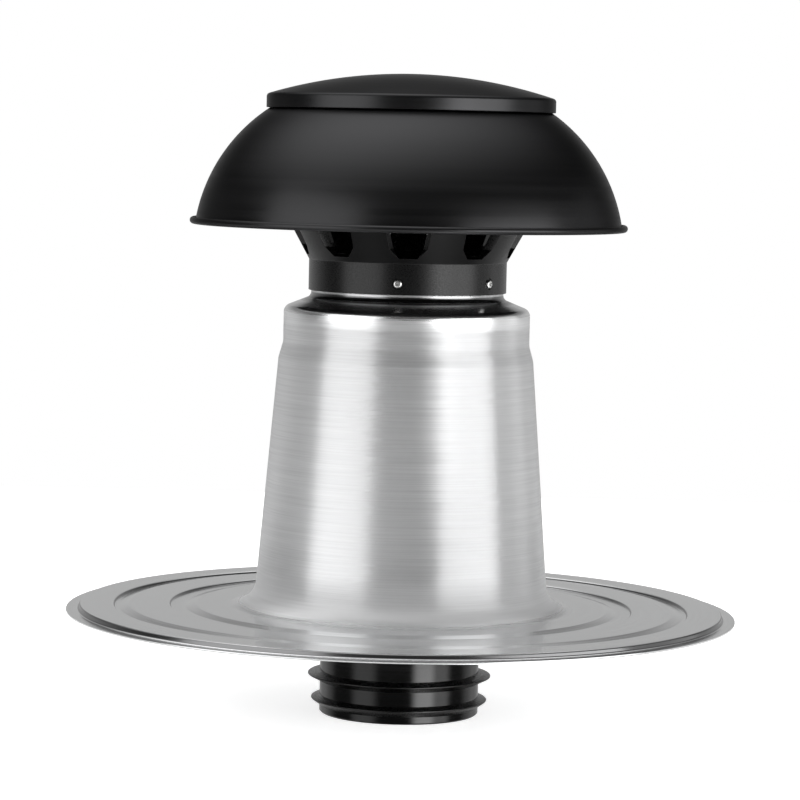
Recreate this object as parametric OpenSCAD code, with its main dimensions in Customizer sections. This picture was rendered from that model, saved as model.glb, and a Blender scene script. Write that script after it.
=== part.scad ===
// Double-wall ventilation chimney for a pitched or flat roof.
// A spun aluminium shell with a wide roof flange stands around an inner duct,
// and a moulded cowl carries a black spun hood with a domed lid above it.
// Z is the duct axis, and Z = 0 is the underside of the flange's brim.

/* [Roof flange] */
// Outer diameter of the flange
flange_d = 522; // [510:1:600]
// Thickness of the spun aluminium sheet
shell_t = 1.5; // [1:0.1:1.6]
// Width of the flat brim outside the riser
brim_w = 9.2; // [4:0.2:12]
// Height of the flange's plateau above the brim
riser_h = 4; // [3.2:0.1:8]
// Horizontal run of the riser
riser_run = 1.4; // [1:0.1:5]
// Radius at the foot of the riser
riser_foot_r = 1.8; // [1:0.1:1.9]
// Radius between the riser and the plateau
riser_edge_r = 3; // [2.2:0.1:3.4]
// Distance from the riser to the outer swage
outer_swage_gap = 26.4; // [10:0.2:36]
// Width of the outer swage
outer_swage_w = 34; // [26:1:40]
// Depth of the outer swage
outer_swage_depth = 2.4; // [1:0.1:2.6]
// Horizontal run of the outer swage's soft wall
outer_soft_run = 14; // [6:0.5:18]
// Distance between the two swages
swage_gap = 9.5; // [5:0.5:14]
// Width of the inner swage
inner_swage_w = 37; // [24:1:41]
// Depth of the inner swage
inner_swage_depth = 1.4; // [0.6:0.1:2]
// Horizontal run of the inner swage's soft wall
inner_soft_run = 9; // [4:0.5:14]
// Horizontal run of each swage's sharp wall
sharp_run = 0.8; // [0.8:0.1:4]
// Radius at the edges of the swages
swage_r = 1.8; // [1.7:0.1:1.9]
// Radius at the foot of each swage's sharp wall
swage_foot_r = 0.6; // [0.4:0.1:0.9]

/* [Tapered body] */
// Diameter of the taper where it would meet the flange's plateau
body_foot_d = 230; // [222:1:234]
// Radius of the sweep from the body into the flange
foot_fillet = 20; // [12:1:21]
// Diameter at the top of the taper
taper_top_d = 198.4; // [194:0.2:204]
// Height of the taper above the flange's plateau
taper_h = 193.5; // [120:0.5:320]
// Height of the step above the taper
step_h = 12; // [8:1:20]
// Radius at both ends of the step
step_r = 8; // [4:0.5:12]
// Diameter of the straight band above the step
shoulder_d = 191.6; // [182:0.2:193]
// Height of the straight band
band_h = 27.5; // [18:0.5:60]
// Slope of the shoulder
shoulder_slope = 22; // [10:1:28]
// Radius of the shoulder's outer corner
shoulder_r = 6; // [3:0.5:8]
// Diameter of the neck that the cowl is screwed to
neck_d = 149.4; // [146:0.2:158]
// Radius between the shoulder and the neck
neck_fillet = 5; // [3:0.5:6]
// Height of the neck that shows between the shoulder and the cowl
neck_show = 4.9; // [4.2:0.1:12]
// Length of the neck inside the cowl
neck_lap = 16.1; // [13:0.1:18]

/* [Inner duct] */
// Outer diameter of the duct
duct_d = 124.5; // [118:0.5:127]
// Wall of the duct
duct_wall = 2.5; // [2:0.1:4]
// Reach of the spigot below the roof
spigot_reach = 78.5; // [78:0.5:140]
// Chamfer at the spigot's end
spigot_chamfer = 1.2; // [0.4:0.1:1.8]
// Width of the duct's top rim outside its wall
duct_rim_w = 3.2; // [2:0.1:5]
// Thickness of the duct's top rim
duct_rim_t = 2.5; // [1.5:0.1:4]

/* [Lip seals] */
// Width of each seal's base
seal_w = 8; // [6:0.1:9]
// Depth of each seal's groove
seal_groove = 1; // [0.6:0.1:1.4]
// Reach of the upper lip beyond the duct
upper_lip_reach = 9.4; // [5:0.1:11]
// Depth of the upper seal's base below the roof
upper_seal_drop = 45.6; // [30:0.1:47]
// Reach of the lower lip beyond the duct
lower_lip_reach = 6.6; // [4:0.1:11]
// Distance from the upper seal to the lower one
seal_pitch = 19; // [14:0.1:20]
// Thickness of each lip at its tip
lip_tip_t = 1.4; // [1:0.1:2]
// Drop of each lip's tip below the top of its base
lip_droop = 2.9; // [1:0.1:5]

/* [Cowl] */
// Wall of the cowl moulding
cowl_wall = 1.9; // [1.7:0.1:2.5]
// Radius at the collar's lower edge
skirt_edge_r = 1.5; // [0.6:0.1:1.6]
// Depth of the seat round each collar screw
dimple_depth = 0.7; // [0.3:0.1:0.9]
// Width of the seat that shows round a collar screw's head
dimple_gap = 1.3; // [0.5:0.1:1.5]
// Height of the collar screws above the cowl's lower edge
screw_edge = 8.6; // [7:0.1:10]
// Height of the straight collar below the flare
collar_h = 23.8; // [22:0.1:28]
// Flare of the arms from the vertical
flare_angle = 29.3; // [20:0.1:34]
// Diameter over the upright part of the arms
arm_d = 194; // [176:1:200]
// Radial depth of the channel-shaped arms
arm_depth = 8; // [6:0.5:10]
// Number of arms, and of the windows between them
arm_count = 9; // [7:1:10]
// Half width of a window at the collar
window_half_w = 12.3; // [9:0.1:14]
// Draft of a window's sides
window_draft = 23; // [10:1:26]
// Height of the window's sill above the flare's foot
sill_h = 3.8; // [3:0.1:6]
// Corner chamfer of the windows
window_chamfer = 5.2; // [3:0.1:7]
// Width of the cowl's top flange past the arms
top_flange_lip = 8; // [6:0.5:10]
// Thickness of the cowl's top flange and web
cowl_plate_t = 2.8; // [2:0.1:4]
// Length of the socket above the web
socket_rise = 6; // [4:0.5:8]
// Length of the socket below the web
socket_drop = 11; // [6:0.5:14]

/* [Hood] */
// Thickness of the hood's sheet
hood_t = 1.2; // [0.8:0.1:1.5]
// Height of the hood's lowest edge above the foot of the flared arms
hood_lift = 26.3; // [10:0.1:34]
// Height from the lowest edge to the lid's seat
hood_h = 89.9; // [86:0.1:110]
// Diameter of the hood's wall at the rim
hood_d = 333.4; // [324:0.2:348]
// Radius of the hood's curved wall
hood_curve_r = 132.7; // [125:0.1:160]
// Outer radius of the rolled rim
curl_r = 1.95; // [1.8:0.05:3]
// Turn of the rolled rim
curl_angle = 250; // [200:5:270]
// Gap from the arms to the outside of the raised neck that carries the lid
hood_neck_gap = 13.6; // [13:0.1:16]
// Radius between the neck and the closed deck
deck_edge_r = 3; // [2:0.1:4]

/* [Lid] */
// Spherical radius of the lid's crown
lid_crown_r = 368; // [280:1:500]
// Height of the lid's skirt
lid_skirt_h = 10.5; // [8:0.1:14]
// Radius between the lid's crown and its skirt
lid_edge_r = 2; // [1.8:0.1:3]

/* [Spacer ring] */
// Height of the spacer ring above the roof
spacer_z = 32; // [28:1:60]
// Height of the spacer ring
spacer_h = 14; // [8:1:20]
// Wall of the spacer ring
spacer_wall = 2.2; // [1.6:0.1:3]
// Number of the spacer ring's spokes
spoke_count = 6; // [4:1:12]

/* [Screws] */
// Diameter of a collar screw's shank
collar_screw_d = 3.9; // [3:0.1:4.2]
// Diameter of a collar screw's head
collar_head_d = 6.6; // [6:0.1:8]
// Height of a collar screw's head
collar_head_h = 2.2; // [1.8:0.1:3]
// Angle between the two collar screws of a pair
collar_pair_angle = 59.5; // [40:0.5:90]
// Angle from the front to the first collar screw
first_screw_angle = -5.5; // [-20:0.5:20]
// Diameter of a hood screw's shank
hood_screw_d = 4; // [3:0.1:5]
// Diameter of a hood screw's head
hood_head_d = 7.6; // [7:0.1:9]
// Height of a hood screw's head
hood_head_h = 2.4; // [1.8:0.1:2.8]
// Number of hood screws
hood_screw_count = 3; // [3:1:6]
// Length of a screw's shank past the last wall
screw_past = 4; // [2:0.5:6]
// Radius at the top edge of each head
head_edge_r = 1.4; // [0.5:0.1:1.6]
// Length of each arm pair of the cross recess
recess_l = 4; // [3:0.1:5]
// Width of the cross recess
recess_w = 1.1; // [0.8:0.1:1.4]
// Depth of the cross recess
recess_depth = 1.1; // [0.6:0.1:1.3]

/* [Fits] */
// Gap between round pieces that slide together
fit_gap = 0.3; // [0.2:0.05:0.4]
// Gap around a screw's shank
screw_gap = 0.2; // [0.1:0.05:0.3]

/* [Hidden] */
$fn = 96;

// Degrees of turn that one straight piece of a rounded corner spans
corner_step = 10;
// Degrees that one straight piece of the hood's long curve spans
curve_step = 1.6;
// Overshoot of a cutting shape past the face that it opens
past = 1;
front = -90;
quarter_turn = 90;
half_turn = 180;
full_turn = 360;

plateau_z = shell_t + riser_h;
plateau_r = flange_d / 2 - brim_w - riser_run;
outer_swage_r = plateau_r - outer_swage_gap;
inner_swage_r = outer_swage_r - outer_swage_w - swage_gap;
neck_r = neck_d / 2;
taper_top_z = plateau_z + taper_h;
taper_slope = (body_foot_d - taper_top_d) / 2 / taper_h;
shoulder_z = taper_top_z + step_h + band_h;
neck_base_z = shoulder_z + (shoulder_d / 2 - neck_r) * tan(shoulder_slope);
cowl_z = neck_base_z + neck_show;
neck_top_z = cowl_z + neck_lap;

duct_r = duct_d / 2;
duct_bore_r = duct_r - duct_wall;
lip_tip_turn = [-60, 75];

collar_bore_r = neck_r + fit_gap;
collar_r = collar_bore_r + cowl_wall;
flare_z = cowl_z + collar_h;
arm_r = arm_d / 2;
sill_z = flare_z + sill_h;
web_z = neck_top_z + fit_gap;
socket_bore_r = duct_r + fit_gap;
socket_r = socket_bore_r + cowl_wall;
socket_top_z = web_z + cowl_plate_t + socket_rise;
arm_pitch = full_turn / arm_count;
collar_screw_z = cowl_z + screw_edge;
dimple_r = collar_head_d / 2 + dimple_gap;

hood_neck_r = arm_r + hood_neck_gap;
hood_z = flare_z + hood_lift;
hood_seat_z = hood_z + hood_h;
curl_z = hood_z + curl_r;
lid_bore_r = hood_neck_r + fit_gap;
lid_r = lid_bore_r + hood_t;
lid_z = hood_seat_z + fit_gap / 2;
lid_skirt_top_z = lid_z + lid_skirt_h;
lid_centre_z = lid_skirt_top_z - sqrt(lid_crown_r * lid_crown_r - lid_r * lid_r);
deck_flat_r = hood_neck_r - deck_edge_r;
lid_under_r = lid_crown_r - hood_t;
deck_z = lid_centre_z + sqrt(lid_under_r * lid_under_r - deck_flat_r * deck_flat_r) - fit_gap;
deck_under_z = deck_z - hood_t;
top_flange_z = deck_under_z - cowl_plate_t;
hood_screw_r = arm_r - arm_depth / 2;
top_flange_bore_r = hood_screw_r - arm_depth;
top_flange_r = arm_r + top_flange_lip;

spacer_top_z = spacer_z + spacer_h;

// Unit vector along v
function unit(v) = v / norm(v);

// Points of the arc round c from angle a to angle b, one piece each step degrees
function arc(c, r, a, b, step = corner_step) =
    let (n = max(1, ceil(abs(b - a) / step)))
    [for (i = [0:n]) c + r * [cos(a + (b - a) * i / n), sin(a + (b - a) * i / n)]];

// The arc of radius r that rounds the corner q between p and s
function corner(p, q, s, r) =
    let (
        u = unit(p - q),
        v = unit(s - q),
        half = acos(u * v) / 2,
        centre = q + unit(u + v) * r / sin(half),
        start = q + u * r / tan(half) - centre,
        turn = half_turn - 2 * half,
        side = u.x * v.y - u.y * v.x > 0 ? -1 : 1,
        a = atan2(start.y, start.x)
    )
    arc(centre, r, a, a + side * turn);

// A path through corners given as [radius from the axis, height, rounding]
function rounded(path) = [
    for (i = [0:len(path) - 1])
        let (q = [path[i].x, path[i].y])
        each i == 0 || i == len(path) - 1 || path[i].z == 0
            ? [q]
            : corner([path[i - 1].x, path[i - 1].y], q, [path[i + 1].x, path[i + 1].y], path[i].z)
];

// The path moved t to its left, with mitred corners
function shifted(path, t) = [
    for (i = [0:len(path) - 1])
        let (
            before = i == 0 ? path[1] - path[0] : path[i] - path[i - 1],
            after = i == len(path) - 1 ? before : path[i + 1] - path[i],
            a = unit([-before.y, before.x]),
            b = unit([-after.y, after.x])
        )
        path[i] + (a + b) * t / (1 + a * b)
];

// A sheet of thickness t to the left of a path, as a closed outline that ends at the axis
function sheet(path, t) =
    let (back = shifted(path, t))
    concat(path, [for (i = [len(back) - 1:-1:0]) [max(0, back[i].x), back[i].y]]);

// All points of a path but its first, to join it to a path that ends there
function rest(path) = [for (i = [1:len(path) - 1]) path[i]];

// Centre of the arc of radius r from a down to b, on the axis side of both
function arc_centre(a, b, r) =
    let (
        chord = b - a,
        reach = sqrt(r * r - chord * chord / 4),
        inward = unit([chord.y, -chord.x])
    )
    (a + b) / 2 + inward * reach;

// Outer radius of the tapered body at height z
function taper_r(z) = taper_top_d / 2 + (taper_top_z - z) * taper_slope;

// Height at which the cowl's flare has reached radius r
function flare_height(r) = flare_z + (r - collar_r) / tan(flare_angle);

// Turns a closed outline of [radius, height] points about the duct axis
module turned(outline) {
    rotate_extrude() polygon(outline);
}

// A plain ring between two radii and two heights
module ring(outer_r, inner_r, z, h) {
    translate([0, 0, z])
        difference() {
            cylinder(r = outer_r, h = h);
            translate([0, 0, -past]) cylinder(r = inner_r, h = h + 2 * past);
        }
}

// Places its child at each collar screw, with X pointing outwards from the axis
module at_collar_screws(r) {
    for (pair = [0, half_turn])
        for (turn = [0, collar_pair_angle])
            rotate(front + first_screw_angle + pair + turn)
                translate([r, 0, collar_screw_z])
                    rotate([0, quarter_turn, 0])
                        children();
}

// Places its child at each hood screw, midway between two arms
module at_hood_screws(z) {
    for (i = [0:hood_screw_count - 1])
        rotate(front + round(i * arm_count / hood_screw_count) * arm_pitch)
            translate([hood_screw_r, 0, z])
                children();
}

// A pan head of diameter d and height h that stands on Z = 0, with a cross recess
module pan_head(d, h) {
    difference() {
        turned(rounded([[0, 0, 0], [d / 2, 0, 0], [d / 2, h, head_edge_r], [0, h, 0]]));
        for (turn = [0, quarter_turn])
            rotate(turn)
                translate([-recess_l / 2, -recess_w / 2, h - recess_depth])
                    cube([recess_l, recess_w, h]);
    }
}

// Corner points of the shell's upper face, from the brim's edge to the neck
shell_path = rounded([
    [flange_d / 2, shell_t, 0],
    [flange_d / 2 - brim_w, shell_t, riser_foot_r],
    [plateau_r, plateau_z, riser_edge_r],
    [outer_swage_r, plateau_z, swage_r],
    [outer_swage_r - sharp_run, plateau_z - outer_swage_depth, swage_foot_r],
    [outer_swage_r - outer_swage_w + outer_soft_run, plateau_z - outer_swage_depth, swage_r],
    [outer_swage_r - outer_swage_w, plateau_z, swage_r],
    [inner_swage_r, plateau_z, swage_r],
    [inner_swage_r - sharp_run, plateau_z - inner_swage_depth, swage_foot_r],
    [inner_swage_r - inner_swage_w + inner_soft_run, plateau_z - inner_swage_depth, swage_r],
    [inner_swage_r - inner_swage_w, plateau_z, swage_r],
    [body_foot_d / 2, plateau_z, foot_fillet],
    [taper_top_d / 2, taper_top_z, step_r],
    [shoulder_d / 2, taper_top_z + step_h, step_r],
    [shoulder_d / 2, shoulder_z, shoulder_r],
    [neck_r, neck_base_z, neck_fillet],
    [neck_r, neck_top_z, 0]
]);

// Spun aluminium body and roof flange in one piece, drilled for the collar screws
module flashing_shell() {
    color("#c9ccce")
        difference() {
            turned(sheet(shell_path, shell_t));
            at_collar_screws(neck_r - shell_t - past)
                cylinder(d = collar_screw_d + 2 * screw_gap, h = shell_t + 2 * past);
        }
}

// Inner duct with its spigot, two seal grooves and the rim that hangs in the cowl
module inner_pipe() {
    rim_r = duct_r + duct_rim_w;
    color("#1c1c1e")
        difference() {
            turned([
                [duct_bore_r, -spigot_reach],
                [duct_r - spigot_chamfer, -spigot_reach],
                [duct_r, -spigot_reach + spigot_chamfer],
                [duct_r, socket_top_z],
                [rim_r, socket_top_z],
                [rim_r, socket_top_z + duct_rim_t],
                [duct_bore_r, socket_top_z + duct_rim_t]
            ]);
            for (drop = [upper_seal_drop, upper_seal_drop + seal_pitch])
                ring(duct_r + past, duct_r - seal_groove, -drop - seal_w, seal_w);
        }
}

// Rubber lip seal whose base fills a groove of the duct
module lip_seal(drop, reach) {
    tip = [duct_r + reach - lip_tip_t / 2, -drop - lip_droop];
    color("#161616")
        turned(concat(
            [
                [duct_r - seal_groove, -drop - seal_w],
                [duct_r, -drop - seal_w]
            ],
            arc(tip, lip_tip_t / 2, lip_tip_turn.x, lip_tip_turn.y, 4 * corner_step),
            [
                [duct_r, -drop],
                [duct_r - seal_groove, -drop]
            ]
        ));
}

module upper_lip_seal() {
    lip_seal(upper_seal_drop, upper_lip_reach);
}

module lower_lip_seal() {
    lip_seal(upper_seal_drop + seal_pitch, lower_lip_reach);
}

// Spoked ring that centres the duct in the foot of the tapered body
module spacer_ring() {
    wall_gap = shell_t * sqrt(1 + taper_slope * taper_slope) + fit_gap;
    low_r = taper_r(spacer_z) - wall_gap;
    high_r = taper_r(spacer_top_z) - wall_gap;
    hub_r = socket_bore_r + spacer_wall;
    color("#2a2a2c") {
        turned([
            [low_r - spacer_wall, spacer_z],
            [low_r, spacer_z],
            [high_r, spacer_top_z],
            [high_r - spacer_wall, spacer_top_z]
        ]);
        ring(hub_r, socket_bore_r, spacer_z, spacer_h);
        for (i = [0:spoke_count - 1])
            rotate([quarter_turn, 0, i * full_turn / spoke_count])
                linear_extrude(spacer_wall, center = true)
                    polygon([
                        [hub_r - spacer_wall / 2, spacer_z],
                        [low_r - spacer_wall / 2, spacer_z],
                        [high_r - spacer_wall / 2, spacer_top_z],
                        [hub_r - spacer_wall / 2, spacer_top_z]
                    ]);
    }
}

// The ring that the arms are cut from: its outer face lies face inside the cowl's
// surface, and its back lies depth inside the surface but not closer to the axis than back_r
module arm_band(face, depth, back_r, top_z) {
    turned([
        [back_r, flare_z],
        [collar_r - face, flare_z],
        [arm_r - face, flare_height(arm_r)],
        [arm_r - face, top_z],
        [arm_r - depth, top_z],
        [arm_r - depth, flare_height(arm_r)],
        [back_r, flare_height(back_r + depth)]
    ]);
}

// A window's opening through the arms' band, larger by grow on each side
module window_space(grow) {
    spread = tan(window_draft);
    inner_r = collar_bore_r - 2 * past;
    outer_r = arm_r + 2 * past;
    inner_w = window_half_w + (inner_r - collar_r) * spread + grow;
    outer_w = window_half_w + (outer_r - collar_r) * spread + grow;
    low_w = window_half_w + grow - window_chamfer;
    intersection() {
        linear_extrude(top_flange_z)
            polygon([
                [inner_r, -inner_w],
                [outer_r, -outer_w],
                [outer_r, outer_w],
                [inner_r, inner_w]
            ]);
        rotate([quarter_turn, 0, quarter_turn])
            linear_extrude(outer_r)
                polygon([
                    [-low_w, sill_z - grow],
                    [low_w, sill_z - grow],
                    [outer_w, sill_z - grow + outer_w - low_w],
                    [outer_w, top_flange_z],
                    [-outer_w, top_flange_z],
                    [-outer_w, sill_z - grow + outer_w - low_w]
                ]);
    }
}

// Repeats its child at every window, the first of them at the front
module at_windows() {
    for (i = [0:arm_count - 1])
        rotate(front + i * arm_pitch)
            children();
}

// Moulded cowl: collar, duct socket, channel-shaped arms and top flange
module cowl_collar() {
    color("#232325")
        difference() {
            union() {
                turned(rounded([
                    [collar_bore_r, cowl_z, 0],
                    [collar_r, cowl_z, skirt_edge_r],
                    [collar_r, flare_z + past, 0],
                    [collar_bore_r, flare_z + past, 0]
                ]));
                ring(collar_bore_r + cowl_wall / 2, socket_bore_r, web_z, cowl_plate_t);
                ring(socket_r, socket_bore_r, web_z - socket_drop, socket_top_z - web_z + socket_drop);
                difference() {
                    arm_band(0, arm_depth, collar_bore_r, top_flange_z + past);
                    at_windows() window_space(0);
                    difference() {
                        arm_band(cowl_wall, arm_depth + past, collar_bore_r - past, top_flange_z);
                        at_windows() window_space(cowl_wall);
                    }
                }
                ring(top_flange_r, top_flange_bore_r, top_flange_z, cowl_plate_t);
            }
            at_collar_screws(collar_bore_r - past)
                cylinder(d = collar_screw_d + 2 * screw_gap, h = cowl_wall + 2 * past);
            at_collar_screws(collar_r - dimple_depth)
                cylinder(r = dimple_r, h = dimple_depth + past);
            at_hood_screws(top_flange_z - past)
                cylinder(d = hood_screw_d + 2 * screw_gap, h = cowl_plate_t + 2 * past);
        }
}

// Spun hood: curved wall with a rolled rim, raised neck and closed deck
module hood_dome() {
    wall_top = [hood_neck_r - hood_t, hood_seat_z];
    curl_centre = [hood_d / 2 - hood_t + curl_r, curl_z];
    wall_foot = [hood_d / 2 - hood_t, curl_z];
    centre = arc_centre(wall_top, wall_foot, hood_curve_r - hood_t);
    from_foot = wall_foot - centre;
    from_top = wall_top - centre;
    path = concat(
        [[0, deck_under_z]],
        corner(
            [0, deck_under_z],
            [hood_neck_r - hood_t, deck_under_z],
            [hood_neck_r - hood_t, hood_seat_z],
            deck_edge_r - hood_t
        ),
        arc(
            centre,
            hood_curve_r - hood_t,
            atan2(from_top.y, from_top.x),
            atan2(from_foot.y, from_foot.x),
            curve_step
        ),
        rest(arc(curl_centre, curl_r, half_turn, half_turn + curl_angle, 2 * corner_step))
    );
    color("#1d1d1f")
        difference() {
            turned(sheet(path, hood_t));
            at_hood_screws(deck_under_z - past)
                cylinder(d = hood_screw_d + 2 * screw_gap, h = hood_t + 2 * past);
        }
}

// Domed lid pressed over the hood's raised neck
module hood_lid() {
    rim_angle = asin(lid_r / lid_crown_r);
    edge_angle = quarter_turn - rim_angle;
    crown = arc([0, lid_centre_z], lid_crown_r, edge_angle, quarter_turn, curve_step);
    path = concat(
        [[lid_r, lid_z]],
        corner([lid_r, lid_z], crown[0], crown[1], lid_edge_r),
        rest(crown)
    );
    color("#1b1b1d") turned(sheet(path, hood_t));
}

// Pan-head screws that hold the cowl on the neck
module collar_screws() {
    seat_r = collar_r - dimple_depth;
    tip_r = neck_r - shell_t - screw_past;
    color("#d6d8da") {
        at_collar_screws(tip_r) cylinder(d = collar_screw_d, h = seat_r - tip_r);
        at_collar_screws(seat_r) pan_head(collar_head_d, collar_head_h);
    }
}

// Screws under the lid that hold the hood on the cowl's top flange
module hood_screws() {
    tip_z = top_flange_z - screw_past;
    color("#b8babc") {
        at_hood_screws(tip_z) cylinder(d = hood_screw_d, h = deck_z - tip_z);
        at_hood_screws(deck_z) pan_head(hood_head_d, hood_head_h);
    }
}

flashing_shell();
inner_pipe();
upper_lip_seal();
lower_lip_seal();
spacer_ring();
cowl_collar();
hood_dome();
hood_lid();
collar_screws();
hood_screws();
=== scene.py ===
"""Double-wall ventilation chimney: a spun aluminium shell round a black duct, with a moulded
cowl and a black spun hood. Each round piece is drawn out ring by ring as on a spinning lathe."""

import math

import bmesh
import bpy
from mathutils import Matrix, Vector


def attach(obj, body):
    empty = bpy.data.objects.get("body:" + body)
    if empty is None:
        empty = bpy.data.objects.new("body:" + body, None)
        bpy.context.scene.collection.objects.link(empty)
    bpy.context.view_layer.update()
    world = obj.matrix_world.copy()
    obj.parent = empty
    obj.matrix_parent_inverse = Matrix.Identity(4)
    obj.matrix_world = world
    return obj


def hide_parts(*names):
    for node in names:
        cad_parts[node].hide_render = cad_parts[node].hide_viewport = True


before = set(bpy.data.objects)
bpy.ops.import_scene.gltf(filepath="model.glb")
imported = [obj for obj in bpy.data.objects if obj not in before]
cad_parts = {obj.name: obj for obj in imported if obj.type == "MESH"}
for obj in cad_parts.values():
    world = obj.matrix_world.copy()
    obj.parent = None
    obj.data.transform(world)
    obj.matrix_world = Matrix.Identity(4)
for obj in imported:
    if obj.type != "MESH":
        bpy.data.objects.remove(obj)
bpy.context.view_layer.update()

MM = 0.001

# How close two places, angles or points are that count as one
NEAR = 0.02 * MM
NEAR_ANGLE = 0.002
MERGE = 0.005 * MM

# Steps of a rounded corner, and the angles from which an edge counts as sharp
ARC_STEP = math.radians(6)
SHARP_ANGLE = math.radians(25)
SHEET_EDGE_ANGLE = math.radians(60)
SHEET_EDGE_ROUND = 0.3
# How much the flat faces count where the shading is smoothed, from 0 to 100
FLAT_FACE_WEIGHT = 80

# Segments round the axis, and round a screw or its hole
SHELL_STEPS = 240
HOOD_STEPS = 240
DUCT_STEPS = 160
CAGE_STEPS = 144
SCREW_STEPS = 48

# Sheet and wall thicknesses, in millimetres like all sizes that follow
SHELL_T = 1.5
HOOD_T = 1.2
COWL_T = 1.9

# Heights in the stack, above the underside of the brim
FLOOR_Z = -78.5
LOWER_SEAL_Z = -64.6
UPPER_SEAL_Z = -45.6
BRIM_Z = 1.5
OUTER_SWAGE_Z = 3.6
INNER_SWAGE_Z = 3.9
PLATEAU_Z = 5.5
COWL_Z = 251.925
SOCKET_FOOT_Z = 257.325
WEB_Z = 268.325
WEB_TOP_Z = 271.125
FLARE_Z = 275.725
SOCKET_TOP_Z = 277.125
SILL_Z = 279.525
DUCT_TOP_Z = 279.625
HOOD_SEAT_Z = 391.925
LID_Z = 392.075
TOP_FLANGE_Z = 398.427
DECK_UNDER_Z = 401.227

# Radii of the pieces that meet
COLLAR_R = 76.9
ARM_R = 97.0
DUCT_R = 62.25
DUCT_BORE_R = 59.75
SOCKET_BORE_R = 62.55
SOCKET_R = 64.45
WEB_R = 75.95
TOP_FLANGE_R = 105.0
TOP_FLANGE_BORE_R = 85.0

# The seals' grooves in the duct, and how far each lip stands out
GROOVE_H = 8
GROOVE_DEPTH = 1
UPPER_LIP = 9.4
LOWER_LIP = 6.6

# The collar's screws: angles from the right, height, the radius they seat at, and their holes
SCREW_PLACES = [math.radians(a) for a in (-95.5, -36.0, 84.5, 144.0)]
SCREW_Z = 260.525
SEAT_R = 76.2
SEAT_HOLE_R = 4.6
HOLE_R = 2.15


def deselect_objects():
    bpy.ops.object.select_all(action="DESELECT")


def start(name):
    """Names the primitive that was just added, and puts its place in its mesh."""
    piece = bpy.context.object
    piece.name = name
    bpy.ops.object.transform_apply(location=True, rotation=True, scale=True)
    return piece


def make_active(piece):
    deselect_objects()
    piece.select_set(True)
    bpy.context.view_layer.objects.active = piece


def pick_points(piece, wanted):
    """Selects the points whose place passes the test, and what lies between them."""
    mesh = bmesh.from_edit_mesh(piece.data)
    bpy.ops.mesh.select_mode(type="VERT")
    bpy.ops.mesh.select_all(action="DESELECT")
    for point in mesh.verts:
        if wanted(point.co):
            point.select_set(True)
    mesh.select_flush_mode()
    bmesh.update_edit_mesh(piece.data)


def pick_edges(piece, wanted):
    """Selects the edges that pass the test."""
    mesh = bmesh.from_edit_mesh(piece.data)
    bpy.ops.mesh.select_mode(type="EDGE")
    bpy.ops.mesh.select_all(action="DESELECT")
    for edge in mesh.edges:
        if wanted(edge):
            edge.select_set(True)
    bmesh.update_edit_mesh(piece.data)


def pick_faces(piece, wanted):
    """Selects the faces whose middle passes the test."""
    mesh = bmesh.from_edit_mesh(piece.data)
    bpy.ops.mesh.select_mode(type="FACE")
    bpy.ops.mesh.select_all(action="DESELECT")
    for face in mesh.faces:
        if wanted(face.calc_center_median()):
            face.select_set(True)
    bmesh.update_edit_mesh(piece.data)


def radius(co):
    return math.hypot(co.x, co.y)


def on_ring(r, z):
    """A test for the points of one ring, given in millimetres."""
    return lambda co: abs(radius(co) - r * MM) < NEAR and abs(co.z - z * MM) < NEAR


def sweep(centre, r, start_angle, end_angle, step):
    """Path points on an arc, with angles in degrees, and no rounding."""
    count = max(1, math.ceil(abs(end_angle - start_angle) / step))
    angles = [start_angle + (end_angle - start_angle) * i / count for i in range(count + 1)]
    return [
        (centre[0] + r * math.cos(math.radians(a)), centre[1] + r * math.sin(math.radians(a)), 0)
        for a in angles
    ]


def round_corner(piece, before, here, after):
    """Bevels the ring at a corner of the path to the corner's radius."""
    to_before = Vector((before[0] - here[0], before[1] - here[1])).normalized()
    to_after = Vector((after[0] - here[0], after[1] - here[1])).normalized()
    half = to_before.angle(to_after) / 2
    segments = max(2, math.ceil((math.pi - 2 * half) / ARC_STEP))
    pick_points(piece, on_ring(here[0], here[1]))
    bpy.ops.mesh.bevel(
        offset=here[2] * MM / math.tan(half),
        offset_type="OFFSET",
        segments=segments,
        profile=0.5,
        affect="EDGES",
        clamp_overlap=False,
    )


def turned(name, path, steps, closed=False):
    """Draws a ring out along a path of (radius, height, corner radius) in millimetres.
    A closed path comes back to its first ring, and an open one may end at the axis."""
    deselect_objects()
    first = path[0]
    bpy.ops.mesh.primitive_circle_add(
        vertices=steps, radius=first[0] * MM, location=(0, 0, first[1] * MM)
    )
    piece = start(name)
    bpy.ops.object.mode_set(mode="EDIT")
    bpy.ops.mesh.select_mode(type="EDGE")
    bpy.ops.mesh.select_all(action="SELECT")
    stations = path + [first] if closed else path
    for before, after in zip(stations, stations[1:]):
        bpy.ops.mesh.extrude_edges_move(
            TRANSFORM_OT_translate={"value": (0, 0, (after[1] - before[1]) * MM)}
        )
        ratio = after[0] / before[0]
        bpy.ops.transform.resize(value=(ratio, ratio, 1), center_override=(0, 0, 0))
    bpy.ops.mesh.select_all(action="SELECT")
    bpy.ops.mesh.remove_doubles(threshold=MERGE)
    for i, here in enumerate(path):
        if here[2]:
            after = path[(i + 1) % len(path)]
            round_corner(piece, path[i - 1], here, after)
    bpy.ops.mesh.select_all(action="SELECT")
    bpy.ops.mesh.normals_make_consistent(inside=False)
    bpy.ops.object.mode_set(mode="OBJECT")
    return piece


def turn_over(piece):
    """Makes the faces look the other way."""
    make_active(piece)
    bpy.ops.object.mode_set(mode="EDIT")
    bpy.ops.mesh.select_all(action="SELECT")
    bpy.ops.mesh.flip_normals()
    bpy.ops.object.mode_set(mode="OBJECT")


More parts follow.
